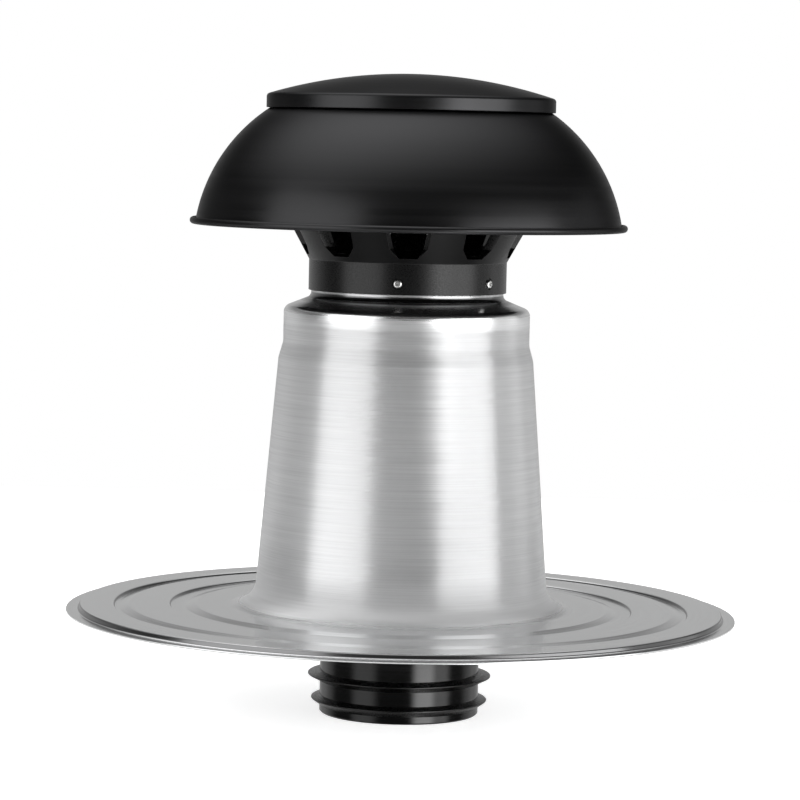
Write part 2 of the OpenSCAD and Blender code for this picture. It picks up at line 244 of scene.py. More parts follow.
def modified(piece, kind, **settings):
    """Adds a modifier with these settings and applies it."""
    make_active(piece)
    modifier = piece.modifiers.new(kind.lower(), kind)
    for key, value in settings.items():
        setattr(modifier, key, value)
    bpy.ops.object.modifier_apply(modifier=modifier.name)


def walled(piece, thickness):
    """Gives a sheet its thickness behind the side that its faces look to."""
    modified(piece, "SOLIDIFY", thickness=thickness * MM, offset=-1, use_even_offset=True)


def eased(piece, width, segments=2, angle=SHARP_ANGLE):
    """Rounds the sharp edges a little, as on a moulded or sheared piece."""
    modified(
        piece,
        "BEVEL",
        width=width * MM,
        segments=segments,
        limit_method="ANGLE",
        angle_limit=angle,
        use_clamp_overlap=True,
        harden_normals=False,
    )


def smoothed(piece):
    """Shades the piece smooth, with its flat faces kept flat and its sharp edges sharp."""
    make_active(piece)
    bpy.ops.object.shade_smooth_by_angle(angle=SHARP_ANGLE)
    modified(piece, "WEIGHTED_NORMAL", keep_sharp=True, weight=FLAT_FACE_WEIGHT)


def bored(piece, r, start_r, end_r):
    """Cuts the screws' round holes or seats, which run outwards from the axis."""
    for angle in SCREW_PLACES:
        deselect_objects()
        middle = (start_r + end_r) / 2 * MM
        bpy.ops.mesh.primitive_cylinder_add(
            vertices=SCREW_STEPS,
            radius=r * MM,
            depth=(end_r - start_r) * MM,
            location=(middle * math.cos(angle), middle * math.sin(angle), SCREW_Z * MM),
            rotation=(0, math.pi / 2, angle),
        )
        drill = start("drill")
        modified(piece, "BOOLEAN", object=drill, operation="DIFFERENCE", solver="EXACT")
        bpy.data.objects.remove(drill)


def joined(name, pieces):
    make_active(pieces[0])
    for piece in pieces:
        piece.select_set(True)
    bpy.ops.object.join()
    whole = bpy.context.object
    whole.name = name
    return whole


def handed_over(piece, material, slot, *nodes):
    """Paints the piece and lets it stand for its solids."""
    piece.data.materials.clear()
    piece.data.materials.append(material)
    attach(piece, "root")
    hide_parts(*nodes)
    return piece


class Nodes:
    """A tree of shader nodes, and short calls that add to it."""

    def __init__(self, tree):
        self.tree = tree

    def node(self, kind, inputs=None, **settings):
        made = self.tree.nodes.new(kind)
        for key, value in settings.items():
            setattr(made, key, value)
        for key, value in (inputs or {}).items():
            if isinstance(value, bpy.types.NodeSocket):
                self.tree.links.new(value, made.inputs[key])
            else:
                made.inputs[key].default_value = value
        return made

    def calc(self, operation, a, b=0.0):
        return self.node("ShaderNodeMath", {0: a, 1: b}, operation=operation).outputs[0]

    def spread(self, value, low, high, from_low=0.0, from_high=1.0, **settings):
        """Low at from_low and high at from_high, even between them and level past them."""
        inputs = {
            "Value": value,
            "From Min": from_low,
            "From Max": from_high,
            "To Min": low,
            "To Max": high,
        }
        return self.node("ShaderNodeMapRange", inputs, **settings).outputs["Result"]


# Materials

# The part of its range that a noise mostly keeps to
NOISE_RANGE = (0.3, 0.7)

# Aluminium: how rough and how metallic each zone is
WALL_ROUGHNESS = 0.46
FLANGE_ROUGHNESS = 0.19
SHOULDER_ROUGHNESS = 0.2
STREAK_ROUGHNESS = 0.03
WALL_METAL = 0.86
FLANGE_METAL = 1.0
FOOT_METAL = 0.45
# Its colours, and how far they go to the dark one: painted shade on the foot, a darker tone over the
# whole flange, and painted shade round the neck
DULL_SHEET = (0.8, 0.805, 0.81, 1)
BRIGHT_SHEET = (0.97, 0.975, 0.98, 1)
DARK_METAL = (0.05, 0.05, 0.052, 1)
FOOT_PAINTED_SHADE = 0.3
FLANGE_DULLNESS = 0.12
NECK_PAINTED_SHADE = 0.85
# Heights at which one zone passes into the next
FLANGE_TO_WALL = (5.8, 20.0)
SMOOTH_TO_ROUGH = (5.6, 10.0)
FOOT_TO_WALL = (17.0, 41.0)
WALL_TO_SHOULDER = (225.0, 238.5)
SHOULDER_TO_NECK = (249.8, 251.2)
# Distances from the axis at which one zone passes into the next
FOOT_TO_FLANGE = (122.0, 136.0)
NECK_TO_SHOULDER = (80.0, 84.0)
# Painted shade in the flange's pressed-in corners: radius, half width of the full dark and of its
# end, and darkness
PAINTED_CREASE_SHADE = ((223.6, 0.35, 0.7, 0.88), (180.1, 0.35, 0.7, 0.75), (250.95, 0.85, 1.3, 0.8))
# Brushing: how fast its lines change round the piece and across it, and the fine ones' share
FINE_BRUSHING = (14.0, 1500.0)
BROAD_BRUSHING = (5.0, 420.0)
FINE_SHARE = 0.6
# How far the lines tip the surface on the wall, and their share of that on the flange
LEAN = 0.035
FLANGE_LEAN = 0.15
# Quarter turn of the brushing, so that it smears up and down
SMEAR_TURN = 0.25


class Paint(Nodes):
    """A piece's material. place is where on the object a point lies."""

    def __init__(self, name):
        self.material = bpy.data.materials.new(name)
        self.material.use_nodes = True
        super().__init__(self.material.node_tree)
        self.shader = self.tree.nodes["Principled BSDF"]
        self.place = self.node("ShaderNodeTexCoord").outputs["Object"]

    def noise(self, vector, scale, detail):
        inputs = {"Vector": vector, "Scale": scale, "Detail": detail, "Roughness": 0.5}
        return self.node("ShaderNodeTexNoise", inputs).outputs["Fac"]

    def zone(self, value, span, low=0.0, high=1.0):
        """Passes from low to high across a span in millimetres."""
        return self.spread(value, low, high, span[0] * MM, span[1] * MM)

    def mixed(self, factor, a, b):
        inputs = {"Factor": factor, 6: a, 7: b}
        return self.node("ShaderNodeMix", inputs, data_type="RGBA").outputs[2]

    def reach(self):
        """Distance from the axis."""
        x, y, _ = self.node("ShaderNodeSeparateXYZ", {0: self.place}).outputs
        squares = self.calc("ADD", self.calc("MULTIPLY", x, x), self.calc("MULTIPLY", y, y))
        return self.calc("SQRT", squares)

    def rings(self, along, across):
        """Coordinates for lines that run round the axis. along is how fast the lines change on
        their way round, and across how fast from one line to the next."""
        x, y, z = self.node("ShaderNodeSeparateXYZ", {0: self.place}).outputs
        lift = self.calc("MULTIPLY", z, across)
        outwards = self.calc("MULTIPLY", self.reach(), across)
        inputs = {
            "X": self.calc("MULTIPLY", x, along),
            "Y": self.calc("MULTIPLY", y, along),
            "Z": self.calc("ADD", lift, outwards),
        }
        return self.node("ShaderNodeCombineXYZ", inputs).outputs[0]

    def bump(self, height, strength, distance):
        inputs = {"Height": height, "Strength": strength, "Distance": distance}
        self.feed("Normal", self.node("ShaderNodeBump", inputs).outputs["Normal"])

    def feed(self, socket, value):
        if isinstance(value, bpy.types.NodeSocket):
            self.tree.links.new(value, self.shader.inputs[socket])
        else:
            self.shader.inputs[socket].default_value = value

    def colour(self, pattern, dark, pale):
        self.feed("Base Color", self.mixed(pattern, (*dark, 1), (*pale, 1)))

    def roughness(self, pattern, low, high):
        self.feed("Roughness", self.spread(pattern, low, high, *NOISE_RANGE))


def painted_corner_shade(paint, reach, above_flange, shoulder):
    """How much painted shade darkens the sheet in the flange's pressed-in corners and on the shoulder
    round the neck.
    """
    crease_shade = 0.0
    for at, full, none, depth in PAINTED_CREASE_SHADE:
        away = paint.calc("ABSOLUTE", paint.calc("SUBTRACT", reach, at * MM))
        crease_shade = paint.calc("MAXIMUM", crease_shade, paint.zone(away, (full, none), depth, 0.0))
    crease_shade = paint.calc("MULTIPLY", crease_shade, paint.calc("SUBTRACT", 1.0, above_flange))
    # Painted shade on the shoulder round the neck, under the black collar
    neck_shade = paint.zone(reach, NECK_TO_SHOULDER, NECK_PAINTED_SHADE, 0.0)
    return paint.calc("MAXIMUM", crease_shade, paint.calc("MULTIPLY", neck_shade, shoulder))


def tipped(paint, tangent, lean):
    """The surface's normal, tipped along the tangent."""
    flat = paint.node("ShaderNodeNewGeometry").outputs["Normal"]
    inputs = {0: tangent, "Scale": lean}
    aside = paint.node("ShaderNodeVectorMath", inputs, operation="SCALE").outputs[0]
    leant = paint.node("ShaderNodeVectorMath", {0: flat, 1: aside}, operation="ADD").outputs[0]
    return paint.node("ShaderNodeVectorMath", {0: leant}, operation="NORMALIZE").outputs[0]


def spun_aluminium():
    """Bright sheet. The upright wall is brushed round the axis, so it smears what it mirrors up and
    down; the flange and the shoulder are smoother. Painted shade darkens the flange's pressed-in
    corners, the foot and the shoulder round the neck."""
    paint = Paint("spun_aluminium")
    fine = paint.noise(paint.rings(*FINE_BRUSHING), scale=1.0, detail=1.0)
    broad = paint.noise(paint.rings(*BROAD_BRUSHING), scale=1.0, detail=2.0)
    fine = paint.calc("MULTIPLY", fine, FINE_SHARE)
    broad = paint.calc("MULTIPLY", broad, 1.0 - FINE_SHARE)
    streak = paint.calc("ADD", fine, broad)

    height = paint.node("ShaderNodeSeparateXYZ", {0: paint.place}).outputs[2]
    reach = paint.reach()
    above_flange = paint.zone(height, FLANGE_TO_WALL)
    shoulder = paint.zone(height, WALL_TO_SHOULDER)
    shoulder = paint.calc("MULTIPLY", shoulder, paint.zone(height, SHOULDER_TO_NECK, 1.0, 0.0))
    upright = paint.calc("MULTIPLY", above_flange, paint.calc("SUBTRACT", 1.0, shoulder))
    foot = paint.zone(reach, FOOT_TO_FLANGE, 1.0, 0.0)
    foot = paint.calc("MULTIPLY", foot, paint.zone(height, FOOT_TO_WALL, 1.0, 0.0))

    sheet = paint.mixed(paint.spread(streak, 0.0, 1.0, *NOISE_RANGE), DULL_SHEET, BRIGHT_SHEET)
    # Painted shade darkens the foot where it sweeps out into the flange
    sheet = paint.mixed(paint.calc("MULTIPLY", foot, FOOT_PAINTED_SHADE), sheet, DARK_METAL)
    sheet = paint.mixed(above_flange, paint.mixed(FLANGE_DULLNESS, sheet, DARK_METAL), sheet)
    # Painted shade in the flange's pressed-in corners and round the neck
    corners = painted_corner_shade(paint, reach, above_flange, shoulder)
    paint.feed("Base Color", paint.mixed(corners, sheet, DARK_METAL))

    metal = paint.spread(above_flange, FLANGE_METAL, WALL_METAL)
    metal = paint.calc("ADD", metal, paint.spread(shoulder, 0.0, 1.0 - WALL_METAL))
    metal = paint.calc("MULTIPLY", metal, paint.spread(foot, 1.0, FOOT_METAL))
    paint.feed("Metallic", metal)
    rough_wall = paint.zone(height, SMOOTH_TO_ROUGH)
    rough = paint.spread(rough_wall, FLANGE_ROUGHNESS, WALL_ROUGHNESS)
    smoother = paint.spread(shoulder, 0.0, SHOULDER_ROUGHNESS - WALL_ROUGHNESS)
    rough = paint.calc("ADD", rough, smoother)
    uneven = paint.spread(streak, -STREAK_ROUGHNESS, STREAK_ROUGHNESS, *NOISE_RANGE)
    paint.feed("Roughness", paint.calc("ADD", rough, uneven))

    paint.feed("Anisotropic", upright)
    paint.feed("Anisotropic Rotation", SMEAR_TURN)
    tangent = paint.node("ShaderNodeTangent", direction_type="RADIAL", axis="Z").outputs[0]
    paint.feed("Tangent", tangent)
    lean = paint.spread(streak, -LEAN, LEAN, *NOISE_RANGE)
    lean = paint.calc("MULTIPLY", lean, paint.spread(upright, FLANGE_LEAN, 1.0))
    paint.feed("Normal", tipped(paint, tangent, lean))
    return paint.material


def coated_black():
    """The hood's and the lid's coating: semi-gloss, with faint rings from the spinning."""
    paint = Paint("coated_black")
    grain = paint.noise(paint.place, scale=1800.0, detail=2.0)
    rings = paint.noise(paint.rings(along=2.0, across=420.0), scale=1.0, detail=3.0)
    paint.colour(rings, dark=(0.035, 0.035, 0.036), pale=(0.043, 0.043, 0.044))
    paint.feed("Metallic", 1.0)
    paint.feed("Specular Tint", (0.45, 0.45, 0.45, 1))
    paint.roughness(rings, low=0.28, high=0.34)
    paint.bump(grain, strength=0.06, distance=0.0002)
    return paint.material


def moulded_black():
    """Black plastic as it comes from the mould."""
    paint = Paint("moulded_black")
    grain = paint.noise(paint.place, scale=1200.0, detail=3.0)
    paint.colour(grain, dark=(0.0015, 0.0015, 0.0016), pale=(0.003, 0.003, 0.0032))
    paint.feed("Specular IOR Level", 0.36)
    paint.roughness(grain, low=0.24, high=0.34)
    paint.bump(grain, strength=0.04, distance=0.0002)
    return paint.material


def shaded_matt_black():
    """The same plastic on the outside of the cowl's flared arms, where it shines less, and a little
    darker as painted shade on arms that look down.
    """
    paint = Paint("shaded_matt_black")
    grain = paint.noise(paint.place, scale=900.0, detail=3.0)
    # A little darker than the moulded plastic: painted shade on the arms' underside
    paint.colour(grain, dark=(0.0012, 0.0012, 0.0013), pale=(0.0025, 0.0025, 0.0027))
    paint.feed("Specular IOR Level", 0.14)
    paint.roughness(grain, low=0.3, high=0.42)
    paint.bump(grain, strength=0.04, distance=0.0002)
    return paint.material


def duct_black():
    """Glossy black with fine lines round it."""
    paint = Paint("duct_black")
    lines = paint.noise(paint.rings(along=3.0, across=700.0), scale=1.0, detail=3.0)
    paint.colour(lines, dark=(0.001, 0.001, 0.0011), pale=(0.003, 0.003, 0.0032))
    paint.roughness(lines, low=0.10, high=0.18)
    paint.bump(lines, strength=0.05, distance=0.0002)
    return paint.material


def seal_rubber():
    paint = Paint("seal_rubber")
    grain = paint.noise(paint.place, scale=900.0, detail=4.0)
    paint.colour(grain, dark=(0.002, 0.002, 0.002), pale=(0.005, 0.005, 0.005))
    paint.roughness(grain, low=0.22, high=0.36)
    paint.bump(grain, strength=0.08, distance=0.0003)
    return paint.material


def zinc_steel():
    paint = Paint("zinc_steel")
    grain = paint.noise(paint.place, scale=1500.0, detail=3.0)
    paint.colour(grain, dark=(0.66, 0.66, 0.65), pale=(0.84, 0.84, 0.83))
    paint.feed("Metallic", 1.0)
    paint.roughness(grain, low=0.22, high=0.36)
    paint.bump(grain, strength=0.05, distance=0.0002)
    return paint.material


# Pieces

def make_shell():
    """Body and roof flange, spun from one sheet: drawn from the brim inwards and up."""
    brim = [(261.0, BRIM_Z, 0), (251.8, BRIM_Z, 1.8), (250.4, PLATEAU_Z, 1.7)]
    outer_swage = [
        (224.0, PLATEAU_Z, 1.8),
        (223.2, OUTER_SWAGE_Z, 0.6),
        (220.5, OUTER_SWAGE_Z, 5),
        (212.0, PLATEAU_Z, 6),
    ]
    inner_swage = [
        (180.5, PLATEAU_Z, 1.8),
        (179.7, INNER_SWAGE_Z, 0.6),
        (168.5, INNER_SWAGE_Z, 5),
        (160.0, PLATEAU_Z, 6),
    ]
    body = [(115.0, PLATEAU_Z, 20), (99.2, 199.0, 8), (95.8, 211.0, 8)]
    shoulder_and_neck = [(95.8, 238.5, 6), (74.7, 247.025, 5), (74.7, 268.025, 0)]
    path = brim + outer_swage + inner_swage + body + shoulder_and_neck
    shell = turned("aluminium_shell", path, SHELL_STEPS)
    walled(shell, SHELL_T)
    eased(shell, SHEET_EDGE_ROUND, angle=SHEET_EDGE_ANGLE)
    inside_neck, outside_neck = 71.0, 77.0
    bored(shell, HOLE_R, inside_neck, outside_neck)
    smoothed(shell)
    return shell


def make_duct():
    """Inner duct: one closed outline with its grooves and its hanging rim."""
    chamfer = 1.2
    rim_r = DUCT_R + 3.2
    grooves = []
    for top_z in (LOWER_SEAL_Z, UPPER_SEAL_Z):
        grooves += [
            (DUCT_R, top_z - GROOVE_H, 0),
            (DUCT_R - GROOVE_DEPTH, top_z - GROOVE_H, 0),
            (DUCT_R - GROOVE_DEPTH, top_z, 0),
            (DUCT_R, top_z, 0),
        ]
    path = [
        (DUCT_BORE_R, FLOOR_Z, 0.4),
        (DUCT_R - chamfer, FLOOR_Z, 0),
        (DUCT_R, FLOOR_Z + chamfer, 0),
        *grooves,
        (DUCT_R, SOCKET_TOP_Z, 0),
        (rim_r, SOCKET_TOP_Z, 0.5),
        (rim_r, DUCT_TOP_Z, 0.8),
        (DUCT_BORE_R, DUCT_TOP_Z, 0.8),
    ]
    duct = turned("black_duct", path, DUCT_STEPS, closed=True)
    smoothed(duct)
    return duct


def make_seal(name, top_z, lip):
    """Lip seal: a band in the groove with a lip that tapers to a rounded tip."""
    tip_round = 0.7
    tip = (DUCT_R + lip - tip_round, top_z - 2.9)
    path = [
        (DUCT_R - GROOVE_DEPTH, top_z - GROOVE_H, 0),
        (DUCT_R, top_z - GROOVE_H, 0),
        *sweep(tip, tip_round, -60, 75, 15),
        (DUCT_R, top_z, 0),
        (DUCT_R - GROOVE_DEPTH, top_z, 0),
    ]
    seal = turned(name, path, DUCT_STEPS, closed=True)
    smoothed(seal)
    return seal


def make_hood():
    """Spun hood: from the rolled rim up the curved wall, over the neck to the closed deck."""
    wall_r, wall_top_r = 165.5, 109.4
    bead_r, bead_z = 1.6, 303.975
    bead_start, bead_end, bead_step = 430, 190, 12
    curve_r, curve_step = 131.5, 1.25
    deck_round = 1.8
    foot, top = Vector((wall_r, bead_z)), Vector((wall_top_r, HOOD_SEAT_Z))
    chord = top - foot
    inward = Vector((-chord.y, chord.x)).normalized()
    centre = (foot + top) / 2 + inward * math.sqrt(curve_r**2 - chord.length**2 / 4)
    foot_angle = math.degrees(math.atan2(foot.y - centre.y, foot.x - centre.x))
    top_angle = math.degrees(math.atan2(top.y - centre.y, top.x - centre.x))
    path = [
        *sweep((wall_r + bead_r, bead_z), bead_r, bead_start, bead_end, bead_step),
        *sweep(centre, curve_r, foot_angle, top_angle, curve_step),
        (wall_top_r, DECK_UNDER_Z, deck_round),
        (0.0, DECK_UNDER_Z, 0),
    ]
    hood = turned("black_hood", path, HOOD_STEPS)
    turn_over(hood)
    walled(hood, -HOOD_T)
    smoothed(hood)
    return hood


def make_lid():
    """Lid over the hood's neck: a short skirt and a shallow domed crown."""
    lid_r, edge_z, edge_round = 112.1, 402.575, 2.8
    crown_r, crown_step = 368.0, 0.9
    centre_z = edge_z - math.sqrt(crown_r**2 - lid_r**2)
    edge_angle = 90 - math.degrees(math.asin(lid_r / crown_r))
    crown = sweep((0, centre_z), crown_r, edge_angle, 90, crown_step)
    crown[0] = (lid_r, edge_z, edge_round)
    crown[-1] = (0.0, centre_z + crown_r, 0)
    lid = turned("black_lid", [(lid_r, LID_Z, 0), *crown], HOOD_STEPS)
    walled(lid, HOOD_T)
    eased(lid, SHEET_EDGE_ROUND, angle=SHEET_EDGE_ANGLE)
    smoothed(lid)
    return lid


# Windows of the cage: half widths at the collar and at the sill, and how the sides draw apart
WINDOW_HALF_W = 12.3
WINDOW_LOW_HALF_W = 7.1
WINDOW_DRAFT = math.tan(math.radians(23))
WINDOW_CORNER_H = 7.25
WINDOW_COUNT = 9
WINDOW_PITCH = 2 * math.pi / WINDOW_COUNT
FRONT = math.radians(-90)
# Columns of the skin, counted from a window's middle, that become its sides and corners
EDGE_COLUMN = 4
FOOT_COLUMN = 2
COLUMN_ANGLE = 2 * math.pi / CAGE_STEPS
# The arms: slope of the flare, and how deep their sides go behind the skin
FLARE = math.tan(math.radians(29.3))
ARM_DEPTH = 8
SILL_BACK_R = 75.0
CORNER_BACK_R = 75.1
MOULD_ROUND = 0.7


def window_edge_angle(r):
    """Angle from a window's middle to its side, at radius r. Each try starts from the last."""
    tries = 20
    angle = math.asin(WINDOW_HALF_W / r)
    for _ in range(tries):
        half_w = WINDOW_HALF_W + (r * math.cos(angle) - COLLAR_R) * WINDOW_DRAFT
        angle = math.asin(half_w / r)
    return angle


def window_angle(co):
    """Angle of a place from the middle of the nearest window."""
    angle = math.atan2(co.y, co.x) - FRONT
    return (angle + WINDOW_PITCH / 2) % WINDOW_PITCH - WINDOW_PITCH / 2


def swing(angle):
    """Turns what is selected about the axis, counter-clockwise from above."""
    bpy.ops.transform.rotate(value=-angle, orient_axis="Z", center_override=(0, 0, 0))


def set_column(piece, r, z, from_angle, to_angle):
    """Moves the points of one ring that stand at an angle from each window's middle."""
    ring = on_ring(r, z)
    for side in (1, -1):
        pick_points(
            piece,
            lambda co: ring(co) and abs(window_angle(co) - side * from_angle) < NEAR_ANGLE,
        )
        swing(side * (to_angle - from_angle))


def flare_r(z):
    """Radius of the flared skin at a height."""
    return COLLAR_R + (z - FLARE_Z) * FLARE


def fill_window_corners(cage, low_angle):
    """Closes the slanted lower corners of every window with a face."""
    corner_z = SILL_Z + WINDOW_CORNER_H
    sill_edge = window_edge_angle(flare_r(SILL_Z))
    corner_edge = window_edge_angle(flare_r(corner_z))
    for i in range(WINDOW_COUNT):
        for side in (1, -1):
            middle = FRONT + i * WINDOW_PITCH

            def corner(co):
                turn = (math.atan2(co.y, co.x) - middle + math.pi) % (2 * math.pi) - math.pi
                turn *= side
                at_sill = abs(co.z - SILL_Z * MM) < NEAR
                at_sill = at_sill and low_angle - NEAR_ANGLE < turn < sill_edge + NEAR_ANGLE
                at_corner = abs(co.z - corner_z * MM) < NEAR
                at_corner = at_corner and abs(turn - corner_edge) < NEAR_ANGLE
                return at_sill or at_corner

            pick_points(cage, corner)
            bpy.ops.mesh.edge_face_add()


def window_border(edge):
    """Whether an edge is an open one round a window, which the rims of the cage aren't."""
    slack = 0.1
    low_z = min(point.co.z for point in edge.verts)
    lowest_z = (SILL_Z - slack) * MM
    highest_z = (TOP_FLANGE_Z - slack) * MM
    return edge.is_boundary and lowest_z <= low_z <= highest_z


def make_cage():
    """Collar and arms from one skin: the windows are opened, their sides drawn in, and the
    skin then gets its wall."""
    corner_z = SILL_Z + WINDOW_CORNER_H
    arm_top_z = FLARE_Z + (ARM_R - COLLAR_R) / FLARE
    rows = [
        (flare_r(SILL_Z), SILL_Z, SILL_BACK_R),
        (flare_r(corner_z), corner_z, CORNER_BACK_R),
        (ARM_R, arm_top_z, ARM_R - ARM_DEPTH),
        (ARM_R, TOP_FLANGE_Z, ARM_R - ARM_DEPTH),
    ]
    path = [(COLLAR_R, COWL_Z, 0), (COLLAR_R, FLARE_Z, 0)] + [(r, z, 0) for r, z, _ in rows]
    cage = turned("moulded_cowl", path, CAGE_STEPS)
    bpy.ops.object.mode_set(mode="EDIT")
    for r, z, _ in rows:
        set_column(cage, r, z, EDGE_COLUMN * COLUMN_ANGLE, window_edge_angle(r))
    sill_r = rows[0][0]
    low_angle = math.asin(WINDOW_LOW_HALF_W / sill_r)
    set_column(cage, sill_r, SILL_Z, FOOT_COLUMN * COLUMN_ANGLE, low_angle)

    clear_of_side = 0.01
    pick_faces(
        cage,
        lambda co: co.z > SILL_Z * MM
        and abs(window_angle(co)) < window_edge_angle(radius(co) / MM) - clear_of_side,
    )
    bpy.ops.mesh.delete(type="FACE")
    fill_window_corners(cage, low_angle)

    # The new points are first drawn in a little, to tell them from those of the skin
    pick_edges(cage, window_border)
    bpy.ops.mesh.extrude_edges_move(TRANSFORM_OT_translate={"value": (0, 0, 0)})
    drawn = 0.97
    bpy.ops.transform.resize(value=(drawn, drawn, 1), center_override=(0, 0, 0))
    for r, z, back_r in rows:
        pick_points(cage, on_ring(r * drawn, z))
        ratio = back_r / (r * drawn)
        bpy.ops.transform.resize(value=(ratio, ratio, 1), center_override=(0, 0, 0))
        if z > SILL_Z:
            set_column(cage, back_r, z, window_edge_angle(r), window_edge_angle(back_r))
    set_column(cage, SILL_BACK_R, SILL_Z, low_angle, math.asin(WINDOW_LOW_HALF_W / SILL_BACK_R))
    bpy.ops.mesh.select_all(action="SELECT")
    bpy.ops.mesh.normals_make_consistent(inside=False)
    bpy.ops.object.mode_set(mode="OBJECT")

    walled(cage, COWL_T)
    eased(cage, MOULD_ROUND, segments=3)
    inside_collar, outside_collar = COLLAR_R - 3, COLLAR_R + 1
    bored(cage, SEAT_HOLE_R, SEAT_R, outside_collar)
    bored(cage, HOLE_R, inside_collar, outside_collar)
    return cage


def make_cowl():
    """Cage with its duct socket inside and its top flange under the hood's deck."""
    cage = make_cage()
    socket_path = [
        (WEB_R, WEB_Z, 0),
        (WEB_R, WEB_TOP_Z, 0),
        (SOCKET_R, WEB_TOP_Z, 0),
        (SOCKET_R, SOCKET_TOP_Z, 0),
        (SOCKET_BORE_R, SOCKET_TOP_Z, 0),
        (SOCKET_BORE_R, SOCKET_FOOT_Z, 0),
        (SOCKET_R, SOCKET_FOOT_Z, 0),
        (SOCKET_R, WEB_Z, 0),
    ]
    socket = turned("cowl_socket", socket_path, CAGE_STEPS, closed=True)
    lower_round = 0.6
    flange_path = [
        (TOP_FLANGE_R, TOP_FLANGE_Z, lower_round),
        (TOP_FLANGE_R, DECK_UNDER_Z, 0),
        (TOP_FLANGE_BORE_R, DECK_UNDER_Z, 0),
        (TOP_FLANGE_BORE_R, TOP_FLANGE_Z, lower_round),
    ]
    flange = turned("cowl_top_flange", flange_path, CAGE_STEPS, closed=True)
    cowl = joined("moulded_cowl", [cage, socket, flange])
    smoothed(cowl)
    return cowl


def arms_painted(cowl, material):
    """Gives the outside of the flared arms, which looks out and down, the plastic that shines less
    and is a little darker as painted shade.
    """
    cowl.data.materials.append(material)
    lowest_z = (FLARE_Z + 0.5) * MM
    least_out, least_down = 0.5, 0.3
    for face in cowl.data.polygons:
        x, y, z = face.center
        outwards = (face.normal.x * x + face.normal.y * y) / math.hypot(x, y)
        if z > lowest_z and outwards > least_out and -face.normal.z > least_down:
            face.material_index = len(cowl.data.materials) - 1


def make_screws():
    """One pan-head screw with its cross recess, and its copies round the collar."""
    head_r, head_h, head_round = 3.3, 2.2, 1.4
    shank_r, tip_r = 1.95, 69.2
    bar_l, bar_w, bar_h = 4, 1.1, 2.2
    recess_turn = 0.5
    deselect_objects()
    bpy.ops.mesh.primitive_cylinder_add(
        vertices=SCREW_STEPS, radius=head_r * MM, depth=head_h * MM
    )
    head = start("screw_head")
    bpy.ops.object.mode_set(mode="EDIT")
    pick_points(head, lambda co: co.z > 0)
    bpy.ops.mesh.bevel(offset=head_round * MM, segments=6, profile=0.5, affect="EDGES")
    pick_faces(head, lambda co: co.z < -NEAR and radius(co) < NEAR)
    bpy.ops.mesh.inset(thickness=(head_r - shank_r) * MM)
    shank_l = SEAT_R - tip_r
    bpy.ops.mesh.extrude_region_move(TRANSFORM_OT_translate={"value": (0, 0, -shank_l * MM)})
    bpy.ops.object.mode_set(mode="OBJECT")
    for turn in (0, math.pi / 2):
        deselect_objects()
        bpy.ops.mesh.primitive_cube_add(size=1, location=(0, 0, head_h / 2 * MM))
        bar = bpy.context.object
        bar.scale = (bar_l * MM, bar_w * MM, bar_h * MM)
        bar.rotation_euler.z = turn
        start("recess_bar")
        modified(head, "BOOLEAN", object=bar, operation="DIFFERENCE", solver="EXACT")
        bpy.data.objects.remove(bar)
    smoothed(head)
    screws = []
    for angle in SCREW_PLACES:
        copy = head.copy()
        copy.data = head.data.copy()
        bpy.context.scene.collection.objects.link(copy)
        copy.matrix_world = (
            Matrix.Rotation(angle, 4, "Z")
            @ Matrix.Translation(((SEAT_R + head_h / 2) * MM, 0, SCREW_Z * MM))
            @ Matrix.Rotation(math.pi / 2, 4, "Y")
            @ Matrix.Rotation(recess_turn, 4, "Z")
        )
        make_active(copy)
        bpy.ops.object.transform_apply(location=True, rotation=True, scale=True)
        screws.append(copy)
    bpy.data.objects.remove(head)
    return joined("zinc_screws", screws)


# Studio

# Floor: size, and the distance up to which the object doesn't mirror it, in metres
FLOOR_SIZE = 3.2
NEAR_FLOOR = 0.45
FLOOR_COLOUR = (0.9, 0.9, 0.9, 1)
FLOOR_ROUGHNESS = 0.9
FLOOR_GLOW = 0.75
# Brightness of the surround as the object mirrors it, on the camera's side and at the back,
# and the share of the back's that is left higher up
FRONT_LEVEL = 0.08
BACK_LEVEL = 0.5
UPPER_SHARE = 0.2
# Where the surround passes from front to back and from low to high, along a direction of
# length 1
FRONT_TO_BACK = (0.1, 0.9)
LOW_TO_HIGH = (0.12, 0.42)
# The overhead light in the surround: where it is, its edge, how it falls off, and its level
OVERHEAD_DIRECTION = (-0.199, 0.237, 0.951)
OVERHEAD_EDGE = 0.38
OVERHEAD_FALL = 1.8
OVERHEAD_HEIGHT = (0.3, 0.8)
OVERHEAD_LEVEL = 2.3
# Low strips of light that only the spigot mirrors: azimuth from the front, half width, level
STRIPS = ((36, 14, 4.6), (62, 14, 1.6), (-52, 17, 0.9), (-125, 15, 0.22), (122, 15, 0.28))
STRIP_EDGE = (0.5, 1.5)
STRIP_HEIGHT = (-0.03, -0.08)
# Softboxes: azimuth from the front (it grows to the right), elevation, width, height, radiance
SOFTBOXES = {
    "left_softbox": (-53, 14, 1.9, 1.6, 1.65),
    "right_softbox": (56, 6, 2.0, 1.3, 2.6),
    "right_fill": (105, 6, 1.3, 1.3, 0.5),
}
SOFTBOX_DISTANCE = 2.0
SOFTBOX_AIM = (0, 0, 0.15)
# Camera: the photo's width and the lens in pixels, the horizon above its middle, the axis to
# the right of it, and how far the photo leans
PHOTO_PX = 800
LENS_PX = 3344
HORIZON_PX = 260
AXIS_PX = 5
CAMERA_LEAN = math.radians(1.24)
CAMERA_PLACE = (0, -2.6, 0.369)
SENSOR_MM = 36
CAMERA_REACH = 50


